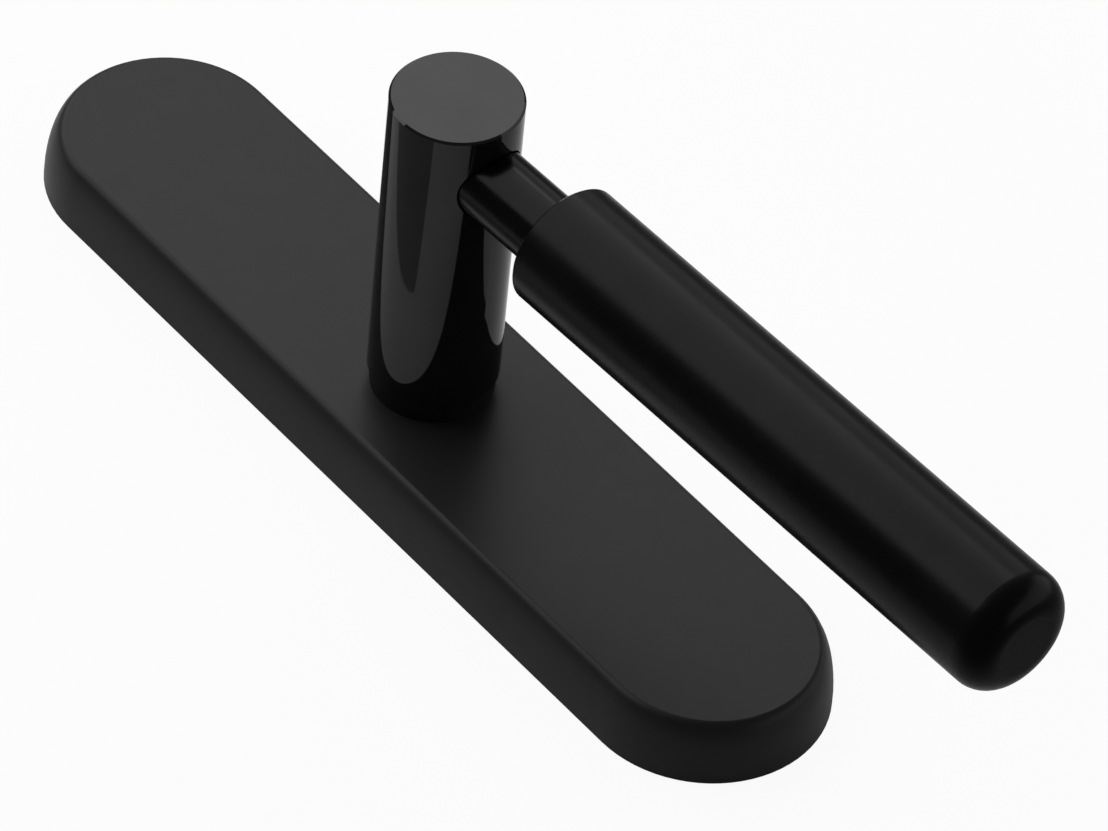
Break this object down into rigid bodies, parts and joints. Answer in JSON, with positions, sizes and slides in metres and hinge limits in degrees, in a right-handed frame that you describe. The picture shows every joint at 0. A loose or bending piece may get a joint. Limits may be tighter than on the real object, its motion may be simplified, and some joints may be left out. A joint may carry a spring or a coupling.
{
  "type": "lever door handle on backplate",
  "caption": "Black lever door handle on a stadium-shaped backplate: a round neck turns in the plate and carries a thin rod with a thick round grip; bolts from behind.",
  "frame": {"origin": "on the lever's turning axis, in the plane of the door's face, midway between the two fixing holes", "axes": "+Z out of the door along the neck, +X along the plate towards the grip, +Y across the plate"},
  "size_m": [0.2246, 0.041, 0.0725],
  "materials": {
    "satin_black_plate": "fine satin black coating on a cast cover",
    "black_nylon": "moulded, fine grain",
    "insert_brass": "turned",
    "zinc_steel": "zinc plated",
    "black_acetal": "turned, dull",
    "polished_black_neck": "polished black coating",
    "semi_gloss_black_rod": "semi-gloss black coating",
    "satin_black_grip": "satin, black anodised",
    "blackened_steel": "blackened",
    "white_nylon": "natural nylon",
    "spring_steel": "phosphated spring steel"
  },
  "bodies": {
    "plate": {"cover_plate": "satin_black_plate", "mounting_plate": "black_nylon", "threaded_inserts": "insert_brass", "cover_screws": "zinc_steel", "bearing_bush": "black_acetal"},
    "lever": {"neck": "polished_black_neck", "rod": "semi_gloss_black_rod", "grip": "satin_black_grip", "spindle_set_screw": "blackened_steel", "rod_set_screw": "blackened_steel", "thrust_washer": "white_nylon", "spring_washer": "spring_steel", "retaining_ring": "spring_steel"}
  },
  "joints": [
    {"name": "lever_turn", "type": "hinge", "parent": "plate", "child": "lever", "pos_m": [0, 0, 0], "axis": [0, 0, 1], "continuous": true}
  ]
}
